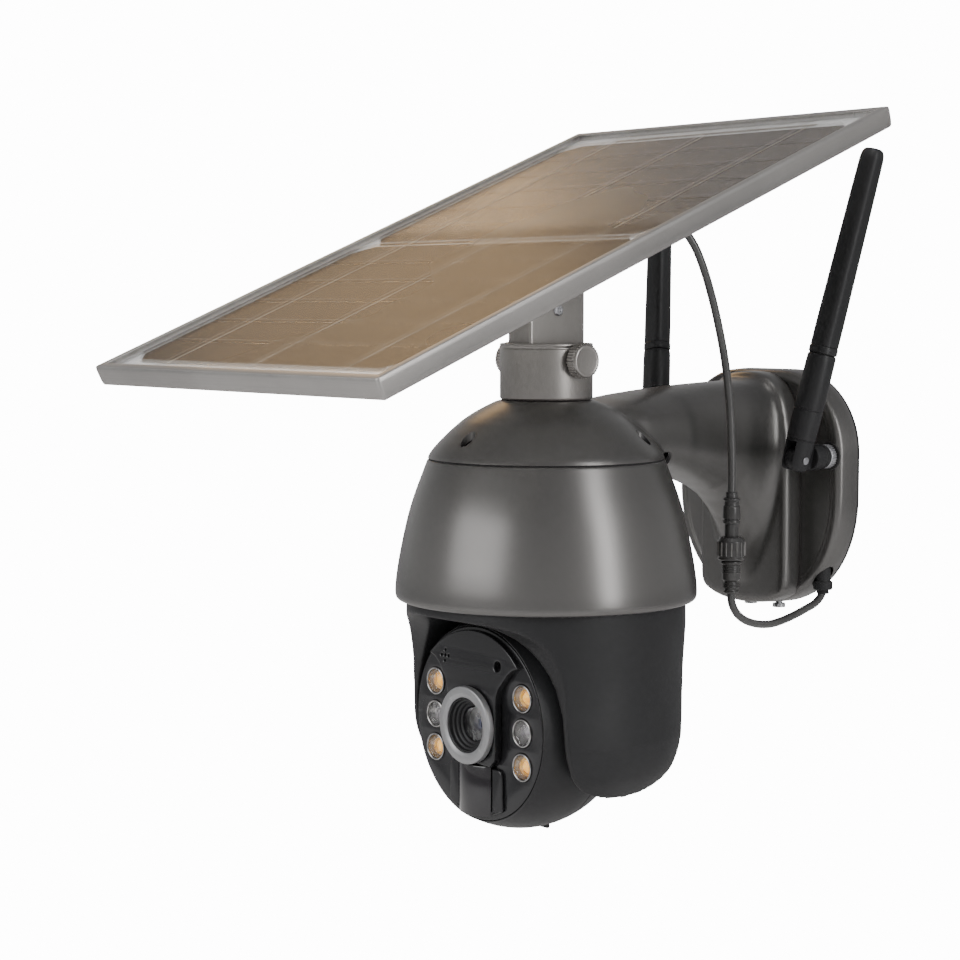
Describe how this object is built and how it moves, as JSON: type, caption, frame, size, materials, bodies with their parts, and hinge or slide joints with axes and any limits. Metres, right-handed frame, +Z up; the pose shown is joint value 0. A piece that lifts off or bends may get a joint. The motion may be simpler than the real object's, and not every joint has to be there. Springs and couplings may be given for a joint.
{
  "type": "solar-powered security camera",
  "caption": "Pan and tilt outdoor camera under a dome on a curved wall arm, with a tilting solar panel on a mast, folding side antennas and a plug-in panel lead.",
  "frame": {"origin": "centre of the wall base's back face, on the wall plane", "axes": "+Z up, +Y into the wall, the lens looks along -Y and +X is to the right of someone facing the wall"},
  "size_m": [0.196, 0.3094, 0.308],
  "materials": {
    "black_plastic": "matte",
    "board": "satin",
    "body_paint": "satin",
    "brass": "polished",
    "cable": "satin",
    "cell_wrap": "satin",
    "cells": "gloss",
    "dark_gloss": "gloss",
    "glass": "polished",
    "grey_metal": "satin",
    "led_clear": "gloss",
    "led_cup": "polished",
    "led_warm": "gloss",
    "lens": "polished",
    "lens_ring": "satin",
    "nylon": "satin",
    "rubber": "matte",
    "steel": "brushed",
    "white_sheet": "satin"
  },
  "bodies": {
    "base": {"base_shell": "body_paint", "wall_plate": "steel", "wall_gasket": "rubber", "lock_screws": "steel", "battery_cells": "cell_wrap", "battery_clip": "black_plastic", "arm_shell": "body_paint", "cap_screws": "steel", "seam_gasket": "rubber", "dome_skirt": "body_paint", "dome_floor": "black_plastic", "main_board": "board", "modem_module": "steel", "pan_motor": "steel", "pan_bracket": "steel", "pan_bearing": "steel", "speaker": "black_plastic", "sma_sockets": "brass", "cable_gland": "rubber", "pigtail": "cable", "connector_socket": "black_plastic", "connector_plug": "black_plastic", "panel_lead": "cable"},
    "union_nut": {"union_nut": "black_plastic"},
    "yoke": {"yoke_shell": "black_plastic", "pan_gear": "nylon", "tilt_axle_left": "steel", "tilt_axle_right": "steel", "tilt_gear": "nylon"},
    "pan_pinion": {"pan_pinion": "brass"},
    "ball": {"ball_shell": "black_plastic", "face_plate": "dark_gloss", "centre_plate": "dark_gloss", "lens_ring": "lens_ring", "lens_barrel": "black_plastic", "lens_glass": "lens", "sensor_board": "board", "led_cups": "led_cup", "white_leds": "led_warm", "ir_leds": "led_clear", "motion_window": "dark_gloss", "tilt_motor": "steel", "card_reader": "steel"},
    "tilt_pinion": {"tilt_pinion": "brass"},
    "card_cover": {"card_cover": "rubber"},
    "reset_button": {"reset_button": "rubber"},
    "mast": {"collar": "grey_metal", "post": "grey_metal"},
    "thumb_screw_right": {"thumb_screw_right": "grey_metal"},
    "thumb_screw_left": {"thumb_screw_left": "grey_metal"},
    "panel": {"panel_frame": "grey_metal", "panel_glass": "glass", "cell_sheet": "cells", "back_sheet": "white_sheet", "junction_box": "black_plastic", "hinge_bracket": "grey_metal"},
    "antenna_base_right": {"antenna_base_right": "black_plastic"},
    "antenna_right": {"antenna_right": "black_plastic"},
    "antenna_base_left": {"antenna_base_left": "black_plastic"},
    "antenna_left": {"antenna_left": "black_plastic"}
  },
  "joints": [
    {"name": "pan", "type": "hinge", "parent": "base", "child": "yoke", "pos_m": [0, -0.145, -0.04], "axis": [0, 0, 1], "range_deg": [-177, 177]},
    {"name": "pan_drive", "type": "hinge", "parent": "base", "child": "pan_pinion", "pos_m": [-0.02725, -0.15492, -0.025], "axis": [0, 0, 1], "range_deg": [-560, 560]},
    {"name": "tilt", "type": "hinge", "parent": "yoke", "child": "ball", "pos_m": [0, -0.16, -0.092], "axis": [1, 0, 0], "range_deg": [-10, 90]},
    {"name": "tilt_drive", "type": "hinge", "parent": "ball", "child": "tilt_pinion", "pos_m": [-0.032, -0.14657, -0.07856], "axis": [1, 0, 0], "range_deg": [-30, 255]},
    {"name": "card_cover_hinge", "type": "hinge", "parent": "ball", "child": "card_cover", "pos_m": [0, -0.15536, -0.13797], "axis": [-1, 0, 0], "range_deg": [0, 90]},
    {"name": "reset_press", "type": "slide", "parent": "ball", "child": "reset_button", "axis": [0, -0.9397, 0.342], "range_m": [0, 0.0008], "stiffness_N_per_m": 300, "springref_m": -0.002},
    {"name": "panel_swivel", "type": "hinge", "parent": "base", "child": "mast", "pos_m": [0, -0.145, 0.05], "axis": [0, 0, 1], "range_deg": [-90, 90], "deforming": ["panel_lead"]},
    {"name": "panel_tilt", "type": "hinge", "parent": "mast", "child": "panel", "pos_m": [0, -0.145, 0.1], "axis": [1, 0, 0], "range_deg": [-17, 38], "deforming": ["panel_lead"]},
    {"name": "thumb_screw_right_turn", "type": "hinge", "parent": "mast", "child": "thumb_screw_right", "pos_m": [0.022, -0.145, 0.0612], "axis": [1, 0, 0], "range_deg": [-180, 720]},
    {"name": "thumb_screw_left_turn", "type": "hinge", "parent": "mast", "child": "thumb_screw_left", "pos_m": [-0.022, -0.145, 0.0612], "axis": [-1, 0, 0], "range_deg": [-180, 720]},
    {"name": "union_nut_turn", "type": "hinge", "parent": "base", "child": "union_nut", "pos_m": [0.045, -0.077, -0.022], "axis": [0, 0, 1], "continuous": true},
    {"name": "antenna_right_swivel", "type": "hinge", "parent": "base", "child": "antenna_base_right", "pos_m": [0.0452, -0.02, 0.0164], "axis": [0, 1, 0], "range_deg": [-18, 80]},
    {"name": "antenna_right_fold", "type": "hinge", "parent": "antenna_base_right", "child": "antenna_right", "pos_m": [0.0452, -0.0362, 0.0164], "axis": [0.9877, 0, -0.1564], "range_deg": [-2, 8]},
    {"name": "antenna_left_swivel", "type": "hinge", "parent": "base", "child": "antenna_base_left", "pos_m": [-0.0452, -0.02, 0.0164], "axis": [0, -1, 0], "range_deg": [-18, 80]},
    {"name": "antenna_left_fold", "type": "hinge", "parent": "antenna_base_left", "child": "antenna_left", "pos_m": [-0.0452, -0.0362, 0.0164], "axis": [0.9877, 0, 0.1564], "range_deg": [-2, 8]}
  ],
  "couplings": [
    {"joint": "pan_drive", "follows": "pan", "ratio": -3.1429},
    {"joint": "tilt_drive", "follows": "tilt", "ratio": 2.8}
  ]
}
